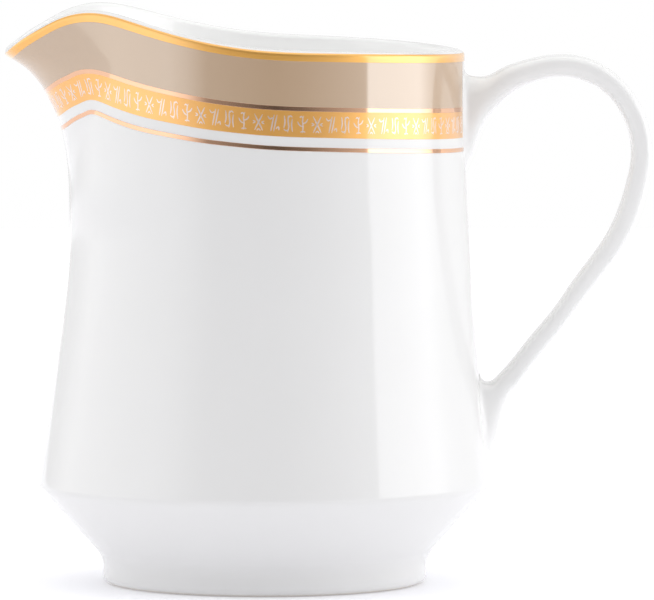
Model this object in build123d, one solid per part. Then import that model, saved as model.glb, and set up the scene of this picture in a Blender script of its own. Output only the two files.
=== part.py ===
from build123d import *
import math
import os

# A porcelain cream jug: spout towards -X, handle towards +X, standing on z = 0. Sizes are in millimetres.
# It is drawn around the axis of its foot, then moved so that the origin is midway along its length.
AXIS_X = -11.0

# Foot and lower cone
FOOT_RADIUS = 28.7
FOOT_HEIGHT = 3.6
FOOT_EDGE_RADIUS = 1.6
FOOT_RING_WIDTH = 4.0
BASE_RECESS = 1.6
CONE_START_RADIUS = 29.0
CONE_START_HEIGHT = 4.6
SHOULDER_RADIUS = 39.9
SHOULDER_HEIGHT = 17.2

# Wall and cavity
WALL = 2.4
FLOOR_HEIGHT = 4.8
FLOOR_RADIUS = 25.4

# Body sections above the shoulder: (height, shift of the centre along X, radius)
BODY_STATIONS = (
    (-2.0, 0.0, 41.2),
    (17.2, 0.0, 39.9),
    (27.0, 0.25, 38.65),
    (37.5, 0.5, 37.3),
    (48.0, 0.8, 36.1),
    (58.0, 0.95, 35.3),
    (68.0, 0.6, 35.0),
    (80.0, 0.35, 34.9),
    (92.0, 0.3, 34.85),
    (108.0, 0.3, 34.85),
)

# Spout: (height, how far it reaches beyond the round body on the centre line)
SPOUT_REACH = (
    (66.0, 0.0),
    (71.0, 0.03),
    (75.0, 0.3),
    (78.7, 0.87),
    (81.5, 1.52),
    (84.8, 2.95),
    (87.7, 4.65),
    (89.8, 6.35),
    (91.2, 7.95),
    (92.3, 9.65),
    (93.2, 11.1),
    (95.0, 13.1),
    (98.0, 15.0),
    (102.0, 16.3),
    (108.0, 17.6),
)
SPOUT_WIDTH_LOW = 10.0
SPOUT_WIDTH_HIGH = 17.0
SPOUT_LOW_HEIGHT = 72.0
SPOUT_HIGH_HEIGHT = 95.0
SPOUT_POWER = 4.6
SPOUT_NOSE = 0.1

# Rim line seen from the side: (x, height), from past the tip of the spout to past the handle side
RIM_LINE = (
    (-48.0, 91.2),
    (-46.2, 93.2),
    (-43.1, 96.05),
    (-39.6, 98.3),
    (-35.6, 100.4),
    (-32.0, 101.4),
    (-28.5, 101.45),
    (-24.0, 100.5),
    (-18.5, 98.95),
    (-10.0, 96.95),
    (-1.0, 95.65),
    (10.0, 95.08),
    (23.0, 94.6),
    (35.2, 93.9),
    (40.0, 93.5),
)

# Decoration: distance below the rim, along the wall, of each band's upper and lower edge
DECAL = 0.2
DECAL_GAP = 0.02
BANDS = {
    "rim_gold_line": (0.35, 1.8),
    "taupe_band": (1.8, 9.65),
    "fine_gold_line": (9.65, 10.4),
    "etched_gold_band": (10.4, 14.9),
    "lower_gold_line": (16.6, 17.3),
}
# The bands widen a little towards the spout: (x of the rim, factor)
BAND_STRETCH = (
    (-48.0, 1.02),
    (-38.0, 1.03),
    (-31.0, 1.065),
    (-26.0, 1.085),
    (-22.0, 1.085),
    (-16.5, 1.055),
    (-11.0, 1.03),
    (-6.0, 1.01),
    (0.0, 1.0),
    (10.0, 1.0),
    (25.0, 1.01),
    (38.0, 1.02),
)
BAND_GAP_ANGLE = 8.6
RIM_LINE_GAP_ANGLE = 0.3

# Handle strap: (inner x, inner z, outer x, outer z, half width across), from the upper to the lower root
HANDLE_STATIONS = (
    (33.9, 71.2, 33.7, 89.6, 5.2),
    (36.6, 75.4, 36.2, 89.4, 4.9),
    (38.1, 79.6, 38.0, 89.2, 4.7),
    (40.6, 83.4, 40.0, 89.7, 4.5),
    (43.6, 86.3, 42.2, 90.9, 4.4),
    (46.9, 88.1, 45.8, 92.1, 4.3),
    (51.9, 89.2, 51.9, 93.1, 4.25),
    (56.1, 88.5, 57.3, 92.3, 4.25),
    (59.4, 86.7, 61.4, 90.0, 4.25),
    (62.3, 83.3, 65.2, 85.7, 4.25),
    (64.1, 79.2, 67.6, 80.5, 4.25),
    (64.5, 74.9, 68.1, 75.0, 4.25),
    (63.7, 70.6, 67.2, 69.4, 4.25),
    (60.5, 62.0, 63.6, 60.0, 4.25),
    (54.4, 53.3, 57.1, 51.2, 4.3),
    (46.0, 42.8, 48.7, 40.4, 4.5),
    (40.4, 36.6, 43.3, 33.6, 4.9),
    (37.2, 31.6, 42.1, 29.6, 5.3),
    (36.6, 26.2, 40.9, 24.6, 5.6),
    (36.6, 20.6, 39.9, 20.2, 5.6),
)
SLIP = 0.2

# Modelling
SECTION_POINTS = 48
SECTION_HEIGHTS = (
    *(-2.0, 14.0, 30.0, 46.0, 58.0, 66.0, 72.0, 76.0, 80.0),
    *(84.0, 87.0, 90.0, 92.0, 94.0, 97.0, 100.0, 103.0, 106.0),
)
BAND_COLUMNS = 72
BAND_TOLERANCE = 2e-3
REACH = 70.0
ABOVE = 130.0


def through(points, column=1):
    """A curve with continuous curvature through the points, as a function of the place."""
    places = [p[0] for p in points]
    values = [p[column] for p in points]
    last = len(points) - 1
    steps = [places[i + 1] - places[i] for i in range(last)]
    bends = [0.0] * (last + 1)
    shares = [0.0] * (last + 1)
    for i in range(1, last):
        turn = (values[i + 1] - values[i]) / steps[i] - (values[i] - values[i - 1]) / steps[i - 1]
        pivot = 2 * (steps[i - 1] + steps[i]) - steps[i - 1] * shares[i - 1]
        shares[i] = steps[i] / pivot
        bends[i] = (6 * turn - steps[i - 1] * bends[i - 1]) / pivot
    for i in range(last - 1, 0, -1):
        bends[i] -= shares[i] * bends[i + 1]

    def value(at):
        i = 0
        while i < last - 1 and at > places[i + 1]:
            i += 1
        run, step = at - places[i], steps[i]
        slope = (values[i + 1] - values[i]) / step - step * (2 * bends[i] + bends[i + 1]) / 6
        bend = bends[i] * run**2 / 2 + (bends[i + 1] - bends[i]) * run**3 / (6 * step)
        return values[i] + slope * run + bend

    return value


shift_at = through(BODY_STATIONS, 1)
radius_at = through(BODY_STATIONS, 2)
reach_at = through(SPOUT_REACH)
rim_at = through(RIM_LINE)
stretch_at = through(BAND_STRETCH)


def spout_width(height):
    """Half width of the spout at a height."""
    t = (height - SPOUT_LOW_HEIGHT) / (SPOUT_HIGH_HEIGHT - SPOUT_LOW_HEIGHT)
    t = min(max(t, 0.0), 1.0)
    return SPOUT_WIDTH_LOW + (SPOUT_WIDTH_HIGH - SPOUT_WIDTH_LOW) * t**3 * (10 - 15 * t + 6 * t * t)


def outside(turn, height):
    """The point of the outer surface at an angle from the handle side, before the rim is cut."""
    x = shift_at(height) + radius_at(height) * math.cos(turn)
    y = radius_at(height) * math.sin(turn)
    if math.cos(turn) < 0 and height > SPOUT_REACH[0][0]:
        across = abs(y) / spout_width(height)
        nose = 1 - SPOUT_NOSE * min(across, 1.5) ** 2
        x -= max(reach_at(height), 0.0) * math.exp(-(across**SPOUT_POWER)) * nose
    return x, y


def pushed(turn, height, out):
    """The outer surface moved square to itself by a distance, kept at the same height."""
    d_turn = 1e-3
    d_height = 1e-2
    x, y = outside(turn, height)
    ax, ay = outside(turn - d_turn, height)
    bx, by = outside(turn + d_turn, height)
    length = math.hypot(bx - ax, by - ay)
    nx, ny = (by - ay) / length, (ax - bx) / length
    ux, uy = outside(turn, height + d_height)
    lx, ly = outside(turn, height - d_height)
    lean = ((ux - lx) * nx + (uy - ly) * ny) / (2 * d_height)
    push = out * math.sqrt(1 + lean * lean)
    return x + nx * push, y + ny * push


def body_loft(out):
    """A solid bounded by the outer surface pushed out by a distance."""
    turns = [2 * math.pi * i / SECTION_POINTS for i in range(SECTION_POINTS)]
    sections = []
    for height in SECTION_HEIGHTS:
        points = [(*pushed(turn, height, out), height) for turn in turns]
        sections.append(Wire(Edge.make_spline(points, periodic=True)))
    return Solid.make_loft(sections)


def revolved(outline):
    """A solid of revolution about Z from an outline in the XZ plane."""
    return revolve(make_face(Plane.XZ * outline), Axis.Z)


def lower_envelope():
    """Foot, cone and everything above the cone's line; it trims the round body at the shoulder."""
    slope = (SHOULDER_RADIUS - CONE_START_RADIUS) / (SHOULDER_HEIGHT - CONE_START_HEIGHT)
    cone_end = (REACH, CONE_START_HEIGHT + (REACH - CONE_START_RADIUS) / slope)
    edge = FOOT_EDGE_RADIUS
    outline = [
        Line((0, 0), (FOOT_RADIUS - edge, 0)),
        CenterArc((FOOT_RADIUS - edge, edge), edge, -90, 90),
        Line((FOOT_RADIUS, edge), (FOOT_RADIUS, FOOT_HEIGHT)),
        Line((FOOT_RADIUS, FOOT_HEIGHT), (CONE_START_RADIUS, CONE_START_HEIGHT)),
        Line((CONE_START_RADIUS, CONE_START_HEIGHT), cone_end),
        Line(cone_end, (REACH, ABOVE)),
        Line((REACH, ABOVE), (0, ABOVE)),
        Line((0, ABOVE), (0, 0)),
    ]
    return revolved(Curve() + outline)


def cavity_envelope():
    """Floor of the inside, its sloping side and everything above."""
    slope = (SHOULDER_RADIUS - CONE_START_RADIUS) / (SHOULDER_HEIGHT - CONE_START_HEIGHT)
    side_end = (REACH, FLOOR_HEIGHT + (REACH - FLOOR_RADIUS) / slope)
    outline = Polyline(
        (0, FLOOR_HEIGHT), (FLOOR_RADIUS, FLOOR_HEIGHT), side_end, (REACH, ABOVE), (0, ABOVE), close=True
    )
    return revolved(outline)


def above_line(points):
    """Everything above a side-view line, right across the jug."""
    first, last = points[0], points[-1]
    line = Spline(*points)
    rest = Polyline(last, (REACH, last[1]), (REACH, ABOVE), (-REACH, ABOVE), (-REACH, first[1]), first)
    return extrude(make_face(Plane.XZ * (Curve() + [line, rest])), REACH, both=True)


def rim_height(turn):
    """Height at which the outer surface meets the rim line at an angle."""
    low, high = 85.0, 104.0
    for _ in range(40):
        middle = (low + high) / 2
        if middle < rim_at(outside(turn, middle)[0]):
            low = middle
        else:
            high = middle
    return (low + high) / 2


def below_rim(turn, distance):
    """Height of the point of the outer surface that lies a distance below the rim along the wall."""
    height = rim_height(turn)
    x, y = outside(turn, height)
    left = distance * stretch_at(x)
    while left > 1e-4:
        step = min(left, 0.1)
        height_next = height - step
        x_next, y_next = outside(turn, height_next)
        run = math.dist((x, y, height), (x_next, y_next, height_next))
        share = min(1.0, left / run)
        height += (height_next - height) * share
        x, y = outside(turn, height)
        left -= run * share
    return height


def band_face(top, bottom, start, out):
    """One face of a band: from a distance below the rim to another, pushed out from the wall."""
    rows_down = max(2, round(bottom - top))
    points = []
    for i in range(BAND_COLUMNS + 1):
        turn = start + 2 * (math.pi - start) * i / BAND_COLUMNS
        column = []
        for j in range(rows_down + 1):
            height = below_rim(turn, top + (bottom - top) * j / rows_down)
            column.append((*pushed(turn, height, out), height))
        points.append(column)
    return Face.make_surface_from_array_of_points(points, tol=BAND_TOLERANCE)


def make_band(top, bottom, start):
    """A thin solid band that follows the rim round the jug and leaves a gap at the handle."""
    inner = band_face(top, bottom, start, DECAL_GAP)
    outer = band_face(top, bottom, start, DECAL_GAP + DECAL)
    faces = [inner, outer]
    free = list(outer.edges())
    for edge in inner.edges():
        partner = min(free, key=lambda other: (other.center() - edge.center()).length)
        free.remove(partner)
        faces.append(Face.make_surface_from_curves(edge, partner))
    return Solid(Shell(faces))


def make_handle():
    """The strap before it is fitted to the body: oval sections lofted along the loop."""
    sections = []
    count = len(HANDLE_STATIONS)
    middles = [((a + c) / 2, (b + d) / 2) for a, b, c, d, _ in HANDLE_STATIONS]
    for i, (inner_x, inner_z, outer_x, outer_z, half_width) in enumerate(HANDLE_STATIONS):
        across = Vector(outer_x - inner_x, 0, outer_z - inner_z)
        ahead, behind = middles[min(i + 1, count - 1)], middles[max(i - 1, 0)]
        flow = Vector(ahead[0] - behind[0], 0, ahead[1] - behind[1])
        normal = across.cross(Vector(0, 1, 0))
        if normal.dot(flow) < 0:
            normal = -normal
        place = Plane(origin=(middles[i][0], 0, middles[i][1]), x_dir=across, z_dir=normal)
        sections.append(place * Ellipse(across.length / 2, half_width))
    return loft(sections)


def main():
    os.makedirs("parts", exist_ok=True)
    outer = body_loft(0.0) & lower_envelope()
    cavity = body_loft(-WALL) & cavity_envelope()
    recess = Cylinder(FOOT_RADIUS - FOOT_RING_WIDTH, 2 * BASE_RECESS)
    above_rim = above_line(RIM_LINE)
    parts = {"jug_body": outer - cavity - recess - above_rim}

    strap = make_handle() - outer
    slip_skin = body_loft(SLIP)
    slip = strap & slip_skin
    parts["handle"] = strap - slip_skin
    upper, lower = slip.solids().sort_by(Axis.Z, reverse=True)[:2]
    parts["upper_slip_joint"] = upper
    parts["lower_slip_joint"] = lower
    for name, (top, bottom) in BANDS.items():
        gap = RIM_LINE_GAP_ANGLE if name == "rim_gold_line" else BAND_GAP_ANGLE
        parts[name] = make_band(top, bottom, math.radians(gap))
    for name, shape in parts.items():
        print(name, len(shape.solids()), round(shape.volume, 2))
        export_step(Pos(AXIS_X, 0, 0) * shape, f"parts/{name}.step")


main()
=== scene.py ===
import math

import bpy
import numpy as np
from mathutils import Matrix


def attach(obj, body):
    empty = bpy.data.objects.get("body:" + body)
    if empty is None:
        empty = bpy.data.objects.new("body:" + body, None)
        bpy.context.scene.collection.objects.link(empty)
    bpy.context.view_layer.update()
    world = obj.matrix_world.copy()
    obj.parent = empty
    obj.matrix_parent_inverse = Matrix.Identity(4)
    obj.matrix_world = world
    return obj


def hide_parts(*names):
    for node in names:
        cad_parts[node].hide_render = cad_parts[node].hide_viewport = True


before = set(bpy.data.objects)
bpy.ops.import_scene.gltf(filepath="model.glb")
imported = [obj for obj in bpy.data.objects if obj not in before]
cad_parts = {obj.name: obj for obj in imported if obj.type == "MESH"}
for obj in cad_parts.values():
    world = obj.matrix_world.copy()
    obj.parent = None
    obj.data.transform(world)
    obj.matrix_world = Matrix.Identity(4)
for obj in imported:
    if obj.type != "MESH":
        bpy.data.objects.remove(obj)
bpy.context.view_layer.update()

# The jug is drawn in millimetres around the axis of its foot, then moved to the frame in metres
MM = 0.001
AXIS_X = -11.0
BODY = "root"

# Body above the shoulder: height, shift of the centre along X, radius
HEIGHTS = (10.0, 17.2, 27.0, 37.5, 48.0, 58.0, 68.0, 80.0, 92.0, 108.0)
SHIFTS = (0.0, 0.0, 0.25, 0.5, 0.8, 0.95, 0.6, 0.35, 0.3, 0.3)
RADII = (40.8, 39.9, 38.65, 37.3, 36.1, 35.3, 35.0, 34.9, 34.85, 34.85)

# Spout: reach beyond the round body on the centre line at each height, and its half width
REACH_HEIGHTS = (66.0, 71.0, 75.0, 78.7, 81.5, 84.8, 87.7, 89.8, 91.2, 92.3, 93.2, 95.0, 98.0, 102.0, 108.0)
REACHES = (0.0, 0.03, 0.3, 0.87, 1.52, 2.95, 4.65, 6.35, 7.95, 9.65, 11.1, 13.1, 15.0, 16.3, 17.6)
SPOUT_WIDTH = (10.0, 17.0)
SPOUT_WIDTH_HEIGHTS = (72.0, 95.0)
SPOUT_POWER = 4.6
SPOUT_NOSE = 0.1

# Rim line from the side: x and height
RIM_X = (-48.0, -46.2, -43.1, -39.6, -35.6, -32.0, -28.5, -24.0, -18.5, -10.0, -1.0, 10.0, 23.0, 35.2, 40.0)
RIM_Z = (91.2, 93.2, 96.05, 98.3, 100.4, 101.4, 101.45, 100.5, 98.95, 96.95, 95.65, 95.08, 94.6, 93.9, 93.5)

# Wall, lip, shoulder and foot
WALL = 2.4
RIM_WALL = 2.1
LIP = 0.9
SHOULDER = 17.2
SHOULDER_EASE = 0.7
CONE_SLOPE = 0.903
FILLET = 5.0
FOOT_RADIUS = 28.5
FOOT_TOP = 2.7
FOOT_EDGE = 1.5
RING_INNER = 25.1
RECESS = 1.6
INSIDE_FROM = 26.0
INSIDE_RADII = (37.0, 36.8, 35.3, 31.4, 27.8, 24.6, 20.0, 12.0, 4.0)
INSIDE_HEIGHTS = (21.5, 18.6, 15.6, 11.4, 7.9, 5.8, 4.95, 4.7, 4.7)

# Decoration: distance below the rim of each band's edges
RIM_GOLD = (0.35, 1.8)
TAUPE = (1.8, 9.65)
FINE_LINE = (9.65, 10.4)
ETCHED = (10.4, 14.9)
LOWER_LINE = (16.6, 17.3)
STRETCH_X = (-48.0, -38.0, -31.0, -26.0, -22.0, -16.5, -11.0, -6.0, 0.0, 10.0, 25.0, 38.0)
STRETCH = (1.02, 1.03, 1.065, 1.085, 1.085, 1.055, 1.03, 1.01, 1.0, 1.0, 1.01, 1.02)
BAND_GAP = math.radians(8.6)
BAND_EDGE = 0.03
BAND_SINK = 0.03
BAND_COLUMNS = 400

# Engraved ornament: step along the band, width and rise of a stroke, its rounded section, its tapering ends
PITCH = 2.55
ORNAMENT_ENDS = 1.4
STROKE_WIDTH = 0.25
STROKE_RISE = 0.02
STROKE_BASE = 0.055
STROKE_ACROSS = (-0.5, -0.42, -0.36, 0.36, 0.42, 0.5)
STROKE_LIFTS = (0.0, 1.0, 1.0, 1.0, 1.0, 0.0)
STROKE_TAPER = (0.45, 0.85, 1.0, 1.0, 1.0, 0.85, 0.45)

# Handle: inner and outer edge from the side, and half width across, from the upper root to the lower one
HANDLE = (
    (33.9, 71.2, 33.7, 89.6, 5.2),
    (36.6, 75.4, 36.2, 89.4, 4.9),
    (38.1, 79.6, 38.0, 89.2, 4.7),
    (40.6, 83.4, 40.0, 89.7, 4.5),
    (43.6, 86.3, 42.2, 90.9, 4.4),
    (46.9, 88.1, 45.8, 92.1, 4.3),
    (51.9, 89.2, 51.9, 93.1, 4.25),
    (56.1, 88.5, 57.3, 92.3, 4.25),
    (59.4, 86.7, 61.4, 90.0, 4.25),
    (62.3, 83.3, 65.2, 85.7, 4.25),
    (64.1, 79.2, 67.6, 80.5, 4.25),
    (64.5, 74.9, 68.1, 75.0, 4.25),
    (63.7, 70.6, 67.2, 69.4, 4.25),
    (60.5, 62.0, 63.6, 60.0, 4.25),
    (54.4, 53.3, 57.1, 51.2, 4.3),
    (50.8, 48.1, 53.2, 46.0, 4.35),
    (46.4, 42.8, 49.2, 41.0, 4.45),
    (43.6, 39.2, 46.3, 37.3, 4.6),
    (41.3, 36.6, 44.7, 35.0, 4.8),
    (39.3, 35.3, 43.0, 32.6, 5.0),
    (37.9, 35.6, 42.2, 29.8, 5.2),
    (36.6, 33.0, 41.2, 25.8, 5.5),
    (36.2, 26.0, 38.6, 20.2, 5.6),
)
ROOT_FILLET = 1.2
ROOT_DEPTH = 1.1

# Handle section along the strap, from the upper root to the lower one: 1 is an ellipse, less is squarer
ROUNDNESS_PLACES = (0.0, 0.08, 0.18, 0.85, 0.93, 1.0)
ROUNDNESS = (0.85, 0.75, 0.5, 0.5, 0.7, 0.85)

# Light and floor
TOP_LIGHT = 1.4
FLOOR_RADIUS = 1.0
FLOOR_GLOW = 0.25
# Painted light: the inside of the jug glows faintly, though it is no lamp
INSIDE_PAINTED_GLOW = 0.07

# Light from low round the jug, as (degrees to the right of its front, brightness)
ROOM = (
    (-180, 0.85),
    (-142, 0.75),
    (-132, 1.0),
    (-120, 1.5),
    (-58, 1.55),
    (-46, 1.15),
    (-34, 0.42),
    (0, 0.15),
    (6, 0.12),
    (22, 0.22),
    (50, 0.62),
    (60.4, 0.8),
    (61.6, 2.85),
    (100, 2.85),
    (112, 1.6),
    (125, 1.15),
    (150, 1.0),
    (180, 0.85),
)

# Camera: lens and sensor width in millimetres, then metres
LENS = 513.6
SENSOR = 36.0
CAMERA_DISTANCE = 1.64
CAMERA_HEIGHT = 0.165
CAMERA_AIM = 0.0498

# Mesh: columns round the body, steps down its wall, rows outside, inside and over the inner floor
COLUMNS = 320
STEPS = 900
OUTER_ROWS = 120
INNER_ROWS = 90
BOTTOM_ROWS = 40
LIP_ANGLES = (75, 60, 46, 33, 21, 10, 0)
HANDLE_ROWS = 300
HANDLE_SIDES = 56


def through(places, values):
    """A curve with continuous curvature through the points, as a function of the place."""
    x, y = np.array(places, float), np.array(values, float)
    h = np.diff(x)
    n = len(x)
    a, b = np.eye(n), np.zeros(n)
    for i in range(1, n - 1):
        a[i, i - 1 : i + 2] = h[i - 1], 2 * (h[i - 1] + h[i]), h[i]
        b[i] = 6 * ((y[i + 1] - y[i]) / h[i] - (y[i] - y[i - 1]) / h[i - 1])
    m = np.linalg.solve(a, b)

    def value(at):
        at = np.asarray(at, float)
        i = np.clip(np.searchsorted(x, at) - 1, 0, n - 2)
        d, k = at - x[i], h[i]
        slope = (y[i + 1] - y[i]) / k - k * (2 * m[i] + m[i + 1]) / 6
        return y[i] + d * slope + d * d * m[i] / 2 + d**3 * (m[i + 1] - m[i]) / (6 * k)

    return value


shift_at = through(HEIGHTS, SHIFTS)
radius_at = through(HEIGHTS, RADII)
reach_at = through(REACH_HEIGHTS, REACHES)
rim_at = through(RIM_X, RIM_Z)
stretch_at = through(STRETCH_X, STRETCH)


def eased(t):
    """From 0 to 1 with no jump in curvature."""
    t = np.clip(t, 0.0, 1.0)
    return t**3 * (10 - 15 * t + 6 * t * t)


def outside(turn, height):
    """Points of the outer surface at angles from the handle side and heights."""
    turn, height = np.broadcast_arrays(turn, height)
    radius = radius_at(height)
    x = shift_at(height) + radius * np.cos(turn)
    y = radius * np.sin(turn)
    low, high = SPOUT_WIDTH_HEIGHTS
    width = SPOUT_WIDTH[0] + (SPOUT_WIDTH[1] - SPOUT_WIDTH[0]) * eased((height - low) / (high - low))
    across = np.abs(y) / width
    fade = np.exp(-(across**SPOUT_POWER)) * (1 - SPOUT_NOSE * np.minimum(across, 1.5) ** 2)
    reach = np.maximum(reach_at(np.clip(height, REACH_HEIGHTS[0], REACH_HEIGHTS[-1])), 0.0)
    x = x - np.where(np.cos(turn) < 0, reach * fade, 0.0)
    return np.stack([x, y, height], axis=-1)


def surface(turn, height):
    """Points of the outer surface and its outward normals."""
    dt, dh = 1e-4, 1e-3
    along = outside(turn + dt, height) - outside(turn - dt, height)
    up = outside(turn, height + dh) - outside(turn, height - dh)
    normal = np.cross(along, up)
    normal /= np.linalg.norm(normal, axis=-1, keepdims=True)
    return outside(turn, height), normal


def rim_heights(turn):
    """Height of the rim at each angle: where the outer surface meets the rim line."""
    low, high = np.full(turn.shape, 85.0), np.full(turn.shape, 104.0)
    for _ in range(40):
        middle = (low + high) / 2
        under = middle < rim_at(outside(turn, middle)[..., 0])
        low, high = np.where(under, middle, low), np.where(under, high, middle)
    return (low + high) / 2


def heights_below_rim(turn, distances):
    """Heights on the outer surface at distances below the rim along the wall, one row for each angle."""
    top = rim_heights(turn)
    stretch = stretch_at(outside(turn, top)[..., 0])
    depth = np.linspace(0.0, 1.0, STEPS)
    heights = top[:, None] + (SHOULDER - top[:, None]) * depth[None, :]
    points = outside(turn[:, None], heights)
    run = np.linalg.norm(np.diff(points, axis=1), axis=-1)
    run = np.concatenate([np.zeros((len(turn), 1)), np.cumsum(run, axis=1)], axis=1)
    wanted = stretch[:, None] * np.asarray(distances)[None, :]
    return np.stack([np.interp(wanted[i], run[i], heights[i]) for i in range(len(turn))])


def even_turns(count, start=0.0, distance=1.0):
    """Angles at equal steps along the line that lies a distance below the rim."""
    fine = np.linspace(start, 2 * math.pi - start, 1441)
    line = outside(fine, heights_below_rim(fine, [distance])[:, 0])
    run = np.concatenate([[0.0], np.cumsum(np.linalg.norm(np.diff(line, axis=0), axis=1))])
    return np.interp(np.linspace(0.0, run[-1], count), run, fine)


def new_object(name, points, faces, material):
    """A mesh object from points in millimetres around the foot's axis."""
    mesh = bpy.data.meshes.new(name)
    placed = (np.asarray(points) + (AXIS_X, 0.0, 0.0)) * MM
    mesh.from_pydata(placed.tolist(), [], faces)
    mesh.polygons.foreach_set("use_smooth", [True] * len(mesh.polygons))
    mesh.materials.append(material)
    mesh.update()
    made = bpy.data.objects.new(name, mesh)
    bpy.context.scene.collection.objects.link(made)
    return made


def add_piece(made, nodes):
    """The piece rides on the jug and stands for its CAD nodes, which are hidden."""
    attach(made, BODY)
    if nodes:
        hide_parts(*nodes)
    return made


def ring_faces(rows, columns, first=0):
    """Quads between rows of points that close round the jug."""
    faces = []
    for i in range(rows - 1):
        for j in range(columns):
            k = (j + 1) % columns
            a, b = first + i * columns, first + (i + 1) * columns
            faces.append((a + j, a + k, b + k, b + j))
    return faces


def revolved(profile, turns):
    """Rows of points of a profile, as (radius, height), turned about the foot's axis."""
    profile = np.asarray(profile)
    x = profile[:, 0, None] * np.cos(turns)
    y = profile[:, 0, None] * np.sin(turns)
    z = np.broadcast_to(profile[:, 1, None], x.shape)
    return np.stack([x, y, z], axis=-1)


def arc(centre, radius, start, end, count):
    """Points of an arc, in degrees, without its first point."""
    angles = np.radians(np.linspace(start, end, count + 1)[1:])
    return [(centre[0] + radius * math.cos(a), centre[1] + radius * math.sin(a)) for a in angles]


def foot_profile():
    """Shoulder, cone, foot and recess as (radius, height), from the shoulder down to the centre."""
    top = float(radius_at(SHOULDER))
    wall_lean = float(radius_at(SHOULDER + SHOULDER_EASE)) - top
    above = (top + wall_lean, SHOULDER + SHOULDER_EASE)
    below = (top - CONE_SLOPE * SHOULDER_EASE, SHOULDER - SHOULDER_EASE)
    points = []
    for t in np.linspace(0.15, 1.0, 7):
        weights = ((1 - t) ** 2, 2 * t * (1 - t), t * t)
        corner = (top, SHOULDER)
        points.append([sum(w * p[i] for w, p in zip(weights, (above, corner, below))) for i in (0, 1)])
    lean = math.degrees(math.atan(CONE_SLOPE))
    fillet_centre = (FOOT_RADIUS + FILLET, FOOT_TOP)
    fillet = arc(fillet_centre, FILLET, 180 - lean, 180, 8)
    cone_end = arc(fillet_centre, FILLET, 0, 180 - lean, 1)[0]
    for t in np.linspace(0, 1, 18)[1:]:
        points.append([below[i] + (cone_end[i] - below[i]) * t for i in (0, 1)])
    points += fillet
    points += [(FOOT_RADIUS, FOOT_EDGE + 0.6), (FOOT_RADIUS, FOOT_EDGE)]
    points += arc((FOOT_RADIUS - FOOT_EDGE, FOOT_EDGE), FOOT_EDGE, 0, -90, 8)
    points += [(26.4, 0.0), (25.8, 0.0), (RING_INNER + 0.3, 0.0)]
    points += arc((RING_INNER + 0.3, 0.3), 0.3, -90, -180, 3)
    points += [(RING_INNER - 0.1, RECESS - 0.8)]
    points += arc((RING_INNER - 0.9, RECESS - 0.8), 0.8, 0, 90, 5)
    points += [(radius, RECESS) for radius in (22.0, 18.0, 12.0, 6.0, 1.5)]
    return points


def lip_rows(turns, side):
    """The rounded lip from its top outwards (side 1) or inwards (side -1), without the top row itself."""
    rows = []
    for angle in np.radians(LIP_ANGLES):
        distance = LIP * (1 - math.sin(angle))
        inset = RIM_WALL / 2 * (1 - side * math.cos(angle))
        points, normals = surface(turns, heights_below_rim(turns, [distance])[:, 0])
        rows.append(points - normals * inset)
    return rows


def wall_rows(turns, count, bottom):
    """Heights of the wall's rows, from just below the lip to a level bottom."""
    top = heights_below_rim(turns, [LIP])[:, 0]
    share = np.linspace(0, 1, count + 1)[1:]
    return [top + (bottom - top) * s for s in share]


def make_body(material):
    """The cast body as one closed mesh: outside, lip, inside, foot."""
    turns = even_turns(COLUMNS + 1)[:-1]
    top_points, top_normals = surface(turns, heights_below_rim(turns, [0.0])[:, 0])
    top_row = top_points - top_normals * RIM_WALL / 2

    outer_rows = lip_rows(turns, 1)
    for height in wall_rows(turns, OUTER_ROWS, SHOULDER + SHOULDER_EASE):
        outer_rows.append(outside(turns, height))
    outer_rows += list(revolved(foot_profile(), turns))

    inner_rows = lip_rows(turns, -1)
    for i, height in enumerate(wall_rows(turns, INNER_ROWS, INSIDE_FROM)):
        thickness = RIM_WALL + (WALL - RIM_WALL) * min(1.0, i / 12)
        points, normals = surface(turns, height)
        inner_rows.append(points - normals * thickness)
    last = inner_rows[-1]
    start = (float(np.mean(np.hypot(last[:, 0], last[:, 1]))), float(last[0, 2]))
    radii, heights = (start[0], *INSIDE_RADII), (start[1], *INSIDE_HEIGHTS)
    run = np.concatenate([[0.0], np.cumsum(np.hypot(np.diff(radii), np.diff(heights)))])
    radius_along, height_along = through(run, radii), through(run, heights)
    shifted = last - revolved([start], turns)[0]
    for t in np.linspace(0, 1, BOTTOM_ROWS + 1)[1:]:
        at = run[-1] * t
        level = revolved([(float(radius_along(at)), float(height_along(at)))], turns)[0]
        inner_rows.append(level + shifted * (1 - eased(np.array(t * 2.5))))

    rows = list(reversed(outer_rows)) + [top_row] + inner_rows
    points = np.concatenate([*rows, [(0.0, 0.0, RECESS)], [(0.0, 0.0, INSIDE_HEIGHTS[-1])]])
    faces = ring_faces(len(rows), COLUMNS)
    base, floor, last_row = len(points) - 2, len(points) - 1, (len(rows) - 1) * COLUMNS
    for j in range(COLUMNS):
        k = (j + 1) % COLUMNS
        faces.append((base, k, j))
        faces.append((floor, last_row + j, last_row + k))
    made = new_object("porcelain_body", points, faces, material)
    # Mask of the jug's inside, fading in over the lip, where the glaze is painted lighter and glows:
    # painted light
    inside = np.zeros(len(points))
    start = (len(outer_rows) + 1) * COLUMNS
    inside[start:-2] = 1.0
    fade = np.linspace(0.1, 0.95, len(LIP_ANGLES))
    inside[start : start + len(fade) * COLUMNS] = np.repeat(fade, COLUMNS)
    inside[-1] = 1.0
    made.data.attributes.new("inside", "FLOAT", "POINT").data.foreach_set("value", inside)
    return add_piece(made, ["jug_body"])


def band_points(turns, distances, lift):
    """Points over the outer wall, by angle and distance below the rim, lifted off it."""
    heights = heights_below_rim(turns, distances)
    points, normals = surface(turns[:, None], heights)
    near_top = np.clip((LIP - np.asarray(distances)) / LIP, 0.0, 1.0)
    inset = RIM_WALL / 2 * (1 - np.sqrt(1 - near_top**2))
    return points + normals * (lift - inset[None, :, None])


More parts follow.
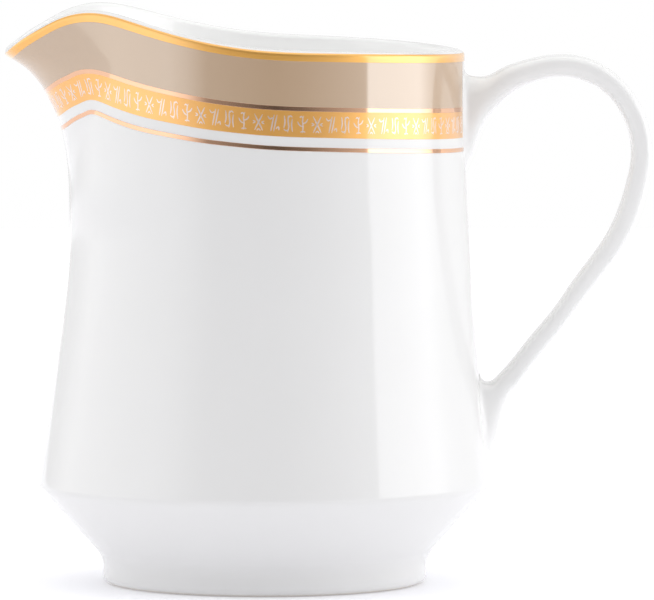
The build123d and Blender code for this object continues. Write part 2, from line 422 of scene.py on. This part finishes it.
def make_band(name, edges, rows, lift, material, node, gap=BAND_GAP):
    """A thin band that follows the rim, whole or with a gap at the handle, its edges in the glaze."""
    whole = gap == 0
    turns = even_turns(BAND_COLUMNS + whole, gap, edges[0])[:BAND_COLUMNS]
    level = np.linspace(edges[0] + BAND_EDGE, edges[1] - BAND_EDGE, rows + 1)
    distances = np.concatenate([[edges[0]], level, [edges[1]]])
    over = band_points(turns, distances, lift)
    under = band_points(turns, distances, -BAND_SINK)[:, ::-1]
    loops = np.concatenate([over, under], axis=1)
    size = loops.shape[1]
    faces = []
    for i in range(BAND_COLUMNS if whole else BAND_COLUMNS - 1):
        a, b = i * size, (i + 1) % BAND_COLUMNS * size
        for j in range(size):
            k = (j + 1) % size
            faces.append((a + j, a + k, b + k, b + j))
    for end in () if whole else (0, (BAND_COLUMNS - 1) * size):
        for j in range(rows + 2):
            quad = (end + j, end + size - 1 - j, end + size - 2 - j, end + j + 1)
            faces.append(quad[::-1] if end else quad)
    made = new_object(name, loops.reshape(-1, 3), faces, material)
    return add_piece(made, [node])


def nodes_of(name):
    """A new material with only its Principled shader and output."""
    material = bpy.data.materials.new(name)
    material.use_nodes = True
    tree = material.node_tree
    shader = tree.nodes["Principled BSDF"]
    return material, tree, shader


def add_node(tree, kind, **values):
    """A node with its settings and unlinked inputs."""
    node = tree.nodes.new(kind)
    for key, value in values.items():
        if hasattr(node, key):
            setattr(node, key, value)
        else:
            node.inputs[key.replace("_", " ")].default_value = value
    return node


def mottled(tree, shader, low, high, scale, detail=4.0):
    """Base colour that varies softly between two colours."""
    place = add_node(tree, "ShaderNodeTexCoord")
    noise = add_node(tree, "ShaderNodeTexNoise", Scale=scale, Detail=detail)
    ramp = add_node(tree, "ShaderNodeValToRGB")
    ramp.color_ramp.elements[0].position = 0.3
    ramp.color_ramp.elements[1].position = 0.7
    ramp.color_ramp.elements[0].color = (*low, 1)
    ramp.color_ramp.elements[1].color = (*high, 1)
    tree.links.new(place.outputs["Object"], noise.inputs["Vector"])
    tree.links.new(noise.outputs["Fac"], ramp.inputs["Fac"])
    tree.links.new(ramp.outputs["Color"], shader.inputs["Base Color"])
    return place, ramp


def rippled(tree, shader, place, scale, strength, distance):
    """Fine surface unevenness."""
    noise = add_node(tree, "ShaderNodeTexNoise", Scale=scale, Detail=3.0)
    bump = add_node(tree, "ShaderNodeBump", Strength=strength, Distance=distance)
    tree.links.new(place.outputs["Object"], noise.inputs["Vector"])
    tree.links.new(noise.outputs["Fac"], bump.inputs["Height"])
    tree.links.new(bump.outputs["Normal"], shader.inputs["Normal"])


def roughened(tree, shader, place, scale, low, high):
    """Roughness that varies between two values."""
    noise = add_node(tree, "ShaderNodeTexNoise", Scale=scale, Detail=2.0)
    spread = add_node(tree, "ShaderNodeMapRange", To_Min=low, To_Max=high)
    tree.links.new(place.outputs["Object"], noise.inputs["Vector"])
    tree.links.new(noise.outputs["Fac"], spread.inputs["Value"])
    tree.links.new(spread.outputs["Result"], shader.inputs["Roughness"])


def blended(tree, factor, low, high):
    """A colour between a linked one and a plain one, by a factor."""
    mix = add_node(tree, "ShaderNodeMix", data_type="RGBA")
    colours = [socket for socket in mix.inputs if socket.type == "RGBA"]
    tree.links.new(factor, mix.inputs["Factor"])
    tree.links.new(low, colours[0])
    colours[1].default_value = (*high, 1)
    return next(socket for socket in mix.outputs if socket.type == "RGBA")


def porcelain(name, is_body):
    """Clear glaze over thin white porcelain; the foot ring is bare. The inside is painted lighter and glows
    faintly, and the handle is painted lighter than the body: painted light.
    """
    material, tree, shader = nodes_of(name)
    place, ramp = mottled(tree, shader, (0.790, 0.788, 0.783), (0.805, 0.803, 0.798), 40.0)
    shader.inputs["IOR"].default_value = 1.5
    rippled(tree, shader, place, 220.0, 0.25, 0.00002)
    if not is_body:
        roughened(tree, shader, place, 30.0, 0.06, 0.09)
        # Painted light: the handle is painted a lighter white than the body, lifting its shade
        ramp.color_ramp.elements[0].color = (0.865, 0.863, 0.857, 1)
        ramp.color_ramp.elements[1].color = (0.88, 0.878, 0.872, 1)
        return material
    inside = add_node(tree, "ShaderNodeAttribute", attribute_name="inside")
    # Painted light: the inside is painted a lighter white than the outside and glows faintly
    colour = blended(tree, inside.outputs["Fac"], ramp.outputs["Color"], (0.95, 0.95, 0.945))
    glow = add_node(tree, "ShaderNodeMath", operation="MULTIPLY")
    glow.inputs[1].default_value = INSIDE_PAINTED_GLOW
    tree.links.new(inside.outputs["Fac"], glow.inputs[0])
    tree.links.new(glow.outputs[0], shader.inputs["Emission Strength"])
    split = add_node(tree, "ShaderNodeSeparateXYZ")
    tree.links.new(place.outputs["Object"], split.inputs["Vector"])
    low = add_node(tree, "ShaderNodeMapRange", From_Min=0.00025, From_Max=0.0006, To_Min=1.0, To_Max=0.0)
    tree.links.new(split.outputs["Z"], low.inputs["Value"])
    rough = add_node(tree, "ShaderNodeMapRange", To_Min=0.07, To_Max=0.75)
    tree.links.new(low.outputs["Result"], rough.inputs["Value"])
    tree.links.new(rough.outputs["Result"], shader.inputs["Roughness"])
    colour = blended(tree, low.outputs["Result"], colour, (0.68, 0.65, 0.61))
    tree.links.new(colour, shader.inputs["Base Color"])
    return material


def gold(name, low, high, roughness, scale=60.0, bump=None, coated=False):
    """Overglaze gold, bright or satin, some with a fine etched grain or a clear coat."""
    material, tree, shader = nodes_of(name)
    place, _ = mottled(tree, shader, low, high, scale)
    shader.inputs["Metallic"].default_value = 1.0
    if coated:
        shader.inputs["Coat Weight"].default_value = 1.0
        shader.inputs["Coat IOR"].default_value = 1.8
        shader.inputs["Coat Roughness"].default_value = 0.1
    roughened(tree, shader, place, 300.0, *roughness)
    if bump:
        rippled(tree, shader, place, *bump)
    return material


def taupe_enamel():
    """Taupe lustre enamel under a glossy surface."""
    material, tree, shader = nodes_of("taupe_enamel")
    place, _ = mottled(tree, shader, (0.52, 0.366, 0.238), (0.54, 0.382, 0.25), 25.0)
    shader.inputs["IOR"].default_value = 2.3
    roughened(tree, shader, place, 50.0, 0.05, 0.09)
    rippled(tree, shader, place, 300.0, 0.2, 0.00001)
    return material


def ornament_strokes(kind):
    """The strokes of one engraved motif, as points along and across the band in millimetres."""
    if kind == 0:
        return [
            [(-0.45, -1.4), (0.15, 1.45)],
            [(0.05, -1.4), (0.65, 1.45)],
            [(-0.95, 1.2), (-0.55, 0.7), (-0.1, 0.95)],
            [(0.45, -1.0), (0.85, -0.6), (0.95, -1.2)],
        ]
    if kind == 1:
        return [
            [(-0.7, -1.4), (0.0, 0.0), (0.7, 1.4)],
            [(-0.7, 1.4), (0.0, 0.0), (0.7, -1.4)],
            [(-1.0, 0.25), (-0.6, 0.0), (-1.0, -0.25)],
            [(1.0, 0.25), (0.6, 0.0), (1.0, -0.25)],
            [(-0.3, -1.45), (0.0, -1.15), (0.3, -1.45)],
        ]
    if kind == 2:
        return [
            [(-0.1, -1.5), (0.05, -0.4), (-0.05, 0.6), (0.2, 1.5)],
            [(0.0, 0.1), (0.5, 0.3), (0.9, 0.95)],
            [(0.0, -0.45), (-0.5, -0.2), (-0.9, 0.45)],
            [(-0.45, -1.4), (0.0, -1.25), (0.45, -1.35)],
            [(-0.5, 1.15), (-0.2, 1.35), (0.0, 1.1)],
        ]
    return [
        [(-0.65, 1.4), (-0.55, 0.2), (-0.75, -0.75)],
        [(0.05, 1.45), (0.0, 0.4), (0.1, -0.5), (-0.1, -1.45)],
        [(0.75, 0.9), (0.6, -0.2), (0.75, -1.35)],
        [(-0.75, -0.95), (-0.3, -1.2), (0.05, -0.9)],
        [(0.75, 1.15), (0.4, 1.4), (0.1, 1.1)],
    ]


def make_ornament(material):
    """The engraved ornament of the broad gold band: fine bright strokes, motif after motif."""
    middle = (ETCHED[0] + ETCHED[1]) / 2
    taper = np.array(STROKE_TAPER)
    places = len(taper)
    fine = np.linspace(BAND_GAP, 2 * math.pi - BAND_GAP, 1441)
    line = outside(fine, heights_below_rim(fine, [middle])[:, 0])
    run = np.concatenate([[0.0], np.cumsum(np.linalg.norm(np.diff(line, axis=0), axis=1))])
    count = int((run[-1] - ORNAMENT_ENDS) / PITCH)
    first = (run[-1] - (count - 1) * PITCH) / 2
    along_all, across_all, lift_all, faces = [], [], [], []
    for motif in range(count):
        for stroke in ornament_strokes(motif * 3 % 4):
            path = np.array(stroke)
            run_in = np.concatenate([[0.0], np.cumsum(np.linalg.norm(np.diff(path, axis=0), axis=1))])
            steps = np.linspace(0.0, run_in[-1], places)
            smooth_path = np.stack([through(run_in, path[:, i])(steps) for i in (0, 1)], axis=1)
            heading = np.gradient(smooth_path, axis=0)
            heading /= np.linalg.norm(heading, axis=1, keepdims=True)
            side = np.stack([-heading[:, 1], heading[:, 0]], axis=1)
            start = places * len(along_all)
            for offset, lift in zip(STROKE_ACROSS, STROKE_LIFTS):
                ribbon = smooth_path + side * (offset * STROKE_WIDTH * taper)[:, None]
                along_all.append(first + motif * PITCH + ribbon[:, 0])
                across_all.append(ribbon[:, 1])
                lift_all.append(STROKE_BASE + STROKE_RISE * lift * taper - BAND_SINK * (lift == 0))
            for row in range(len(STROKE_ACROSS) - 1):
                for i in range(places - 1):
                    a = start + row * places + i
                    faces.append((a, a + 1, a + places + 1, a + places))
    along, across_band = np.concatenate(along_all), np.concatenate(across_all)
    turns = np.interp(along, run, fine)
    heights = heights_at(turns, middle - across_band)
    points, normals = surface(turns, heights)
    points = points + normals * np.concatenate(lift_all)[:, None]
    made = new_object("etched_ornament", points, faces, material)
    return add_piece(made, [])


def heights_at(turns, distances):
    """Height of each point given by its own angle and distance below the rim."""
    levels = np.linspace(ETCHED[0] - 1.0, ETCHED[1] + 1.0, 25)
    grid_turns = np.linspace(BAND_GAP / 2, 2 * math.pi - BAND_GAP / 2, 721)
    grid = heights_below_rim(grid_turns, levels)
    u = (turns - grid_turns[0]) / (grid_turns[1] - grid_turns[0])
    v = (distances - levels[0]) / (levels[1] - levels[0])
    i, j = np.clip(u.astype(int), 0, 719), np.clip(v.astype(int), 0, 23)
    fu, fv = u - i, v - j
    low = grid[i, j] * (1 - fv) + grid[i, j + 1] * fv
    high = grid[i + 1, j] * (1 - fv) + grid[i + 1, j + 1] * fv
    return low * (1 - fu) + high * fu


def make_handle(material):
    """The cast strap: a squarish oval section, rounder and flared where it meets the body."""
    stations = np.array(HANDLE)
    inner, outer, half_width = stations[:, 0:2], stations[:, 2:4], stations[:, 4]
    middle = (inner + outer) / 2
    run = np.concatenate([[0.0], np.cumsum(np.linalg.norm(np.diff(middle, axis=0), axis=1))])
    rows, sides = HANDLE_ROWS, HANDLE_SIDES
    at = np.linspace(0.0, run[-1], rows)
    low = np.stack([through(run, inner[:, i])(at) for i in (0, 1)], axis=1)
    high = np.stack([through(run, outer[:, i])(at) for i in (0, 1)], axis=1)
    wide = through(run, half_width)(at)
    centre, reach = (low + high) / 2, (high - low) / 2
    angles = np.linspace(0, 2 * math.pi, sides, endpoint=False)
    power = np.interp(at / run[-1], ROUNDNESS_PLACES, ROUNDNESS)[:, None]
    cosine = np.sign(np.cos(angles)) * np.abs(np.cos(angles)) ** power
    sine = np.sign(np.sin(angles)) * np.abs(np.sin(angles)) ** power
    x = centre[:, 0, None] + reach[:, 0, None] * cosine
    z = centre[:, 1, None] + reach[:, 1, None] * cosine
    y = wide[:, None] * sine
    points = np.stack([x, y, z], axis=-1)

    along = np.gradient(points, axis=0)
    around = np.roll(points, -1, axis=1) - np.roll(points, 1, axis=1)
    normal = np.cross(around, along)
    normal /= np.linalg.norm(normal, axis=-1, keepdims=True)
    out = points - np.stack([centre[:, 0], 0 * wide, centre[:, 1]], axis=-1)[:, None]
    normal *= np.sign(np.sum(normal * out, axis=-1, keepdims=True))
    shift, radius = shift_at(points[..., 2]), radius_at(points[..., 2])
    from_axis = np.stack([points[..., 0] - shift, points[..., 1], 0 * shift], axis=-1)
    gap = np.linalg.norm(from_axis, axis=-1) - radius
    away = from_axis / np.linalg.norm(from_axis, axis=-1, keepdims=True)
    sideways = normal - away * np.sum(normal * away, axis=-1, keepdims=True)
    near = np.clip((ROOT_FILLET - gap) / ROOT_FILLET, 0.0, 1.0)
    flare = ROOT_FILLET * (1 - np.sqrt(1 - near**2))
    points = points + sideways * flare[..., None]
    too_deep = np.maximum(-ROOT_DEPTH - gap, 0.0)
    points = points + away * too_deep[..., None]

    faces = []
    for i in range(rows - 1):
        for j in range(sides):
            k = (j + 1) % sides
            faces.append((i * sides + j, (i + 1) * sides + j, (i + 1) * sides + k, i * sides + k))
    faces.append(tuple(range(sides)))
    faces.append(tuple((rows - 1) * sides + j for j in range(sides))[::-1])
    made = new_object("porcelain_handle", points.reshape(-1, 3), faces, material)
    return add_piece(made, ["handle", "upper_slip_joint", "lower_slip_joint"])


def make_camera():
    """A long lens a little above the jug, square to its side."""
    data = bpy.data.cameras.new("camera")
    data.lens = LENS
    data.sensor_width = SENSOR
    data.clip_end = 100.0
    made = bpy.data.objects.new("camera", data)
    bpy.context.scene.collection.objects.link(made)
    made.location = (0.0, -CAMERA_DISTANCE, CAMERA_HEIGHT)
    drop = math.atan((CAMERA_HEIGHT - CAMERA_AIM) / CAMERA_DISTANCE)
    made.rotation_euler = (math.pi / 2 - drop, 0.0, 0.0)
    bpy.context.scene.camera = made


def make_floor():
    """A plain pale floor, faintly lit from below like a light table."""
    material, tree, shader = nodes_of("floor")
    mottled(tree, shader, (0.80, 0.80, 0.825), (0.81, 0.81, 0.835), 3.0)
    shader.inputs["Roughness"].default_value = 0.9
    shader.inputs["Specular IOR Level"].default_value = 0.0
    shader.inputs["Emission Color"].default_value = (0.97, 0.97, 1.0, 1)
    shader.inputs["Emission Strength"].default_value = FLOOR_GLOW
    mesh = bpy.data.meshes.new("floor")
    angles = np.linspace(0, 2 * math.pi, 96, endpoint=False)
    edge = [(FLOOR_RADIUS * math.cos(a), FLOOR_RADIUS * math.sin(a), 0.0) for a in angles]
    mesh.from_pydata(edge, [], [tuple(range(len(edge)))])
    mesh.materials.append(material)
    made = bpy.data.objects.new("floor", mesh)
    made.location.z = -0.00005
    bpy.context.scene.collection.objects.link(made)


def make_world():
    """A pale studio: bright and soft on the right, paler on the left, darker in front."""
    world = bpy.data.worlds.new("studio")
    bpy.context.scene.world = world
    world.use_nodes = True
    tree = world.node_tree
    back = tree.nodes["Background"]
    place = add_node(tree, "ShaderNodeTexCoord")
    split = add_node(tree, "ShaderNodeSeparateXYZ")
    tree.links.new(place.outputs["Generated"], split.inputs["Vector"])
    flip = add_node(tree, "ShaderNodeMath", operation="MULTIPLY")
    flip.inputs[1].default_value = -1.0
    tree.links.new(split.outputs["Y"], flip.inputs[0])
    angle = add_node(tree, "ShaderNodeMath", operation="ARCTAN2")
    tree.links.new(split.outputs["X"], angle.inputs[0])
    tree.links.new(flip.outputs[0], angle.inputs[1])
    share = add_node(tree, "ShaderNodeMapRange", From_Min=-math.pi, From_Max=math.pi)
    tree.links.new(angle.outputs[0], share.inputs["Value"])
    ramp = add_node(tree, "ShaderNodeValToRGB")
    bar = ramp.color_ramp
    while len(bar.elements) < len(ROOM):
        bar.elements.new(0.5)
    for element, (degrees, bright) in zip(bar.elements, ROOM):
        element.position = (degrees + 180) / 360
        element.color = (bright, bright, bright, 1)
    tree.links.new(share.outputs["Result"], ramp.inputs["Fac"])
    tall = add_node(tree, "ShaderNodeMapRange", From_Min=0.32, From_Max=0.6, To_Min=1.0, To_Max=0.0)
    tree.links.new(split.outputs["Z"], tall.inputs["Value"])
    sides = add_node(tree, "ShaderNodeMath", operation="MULTIPLY")
    tree.links.new(ramp.outputs["Color"], sides.inputs[0])
    tree.links.new(tall.outputs["Result"], sides.inputs[1])
    top = add_node(tree, "ShaderNodeMapRange", From_Min=0.5, From_Max=0.71, To_Min=0.0, To_Max=TOP_LIGHT)
    tree.links.new(split.outputs["Z"], top.inputs["Value"])
    total = add_node(tree, "ShaderNodeMath", operation="ADD")
    tree.links.new(sides.outputs[0], total.inputs[0])
    tree.links.new(top.outputs["Result"], total.inputs[1])
    ray = add_node(tree, "ShaderNodeLightPath")
    white = add_node(tree, "ShaderNodeMath", operation="MAXIMUM")
    tree.links.new(ray.outputs["Is Camera Ray"], white.inputs[0])
    tree.links.new(total.outputs[0], white.inputs[1])
    tree.links.new(white.outputs[0], back.inputs["Color"])
    back.inputs["Strength"].default_value = 1.0


def main():
    make_camera()
    bpy.context.scene.view_settings.view_transform = "Standard"
    make_world()
    make_floor()
    make_body(porcelain("glazed_porcelain", True))
    make_handle(porcelain("handle_glaze", False))
    bright = gold("bright_gold", (0.80, 0.48, 0.31), (0.84, 0.52, 0.35), (0.05, 0.08))
    satin = gold("rim_gold", (0.87, 0.45, 0.09), (0.90, 0.49, 0.11), (0.40, 0.46), coated=True)
    grain = (900.0, 0.5, 0.00002)
    matt = gold("matt_gold", (0.84, 0.43, 0.10), (0.89, 0.47, 0.12), (0.40, 0.46), 90.0, grain, True)
    make_band("rim_line", RIM_GOLD, 6, 0.05, satin, "rim_gold_line", 0.0)
    make_band("taupe_lustre", TAUPE, 14, 0.04, taupe_enamel(), "taupe_band")
    make_band("fine_line", FINE_LINE, 3, 0.06, bright, "fine_gold_line")
    make_band("etched_band", ETCHED, 8, 0.05, matt, "etched_gold_band")
    make_band("lower_line", LOWER_LINE, 3, 0.06, bright, "lower_gold_line")
    make_ornament(gold("polished_relief", (0.80, 0.67, 0.61), (0.84, 0.71, 0.65), (0.26, 0.32)))


main()
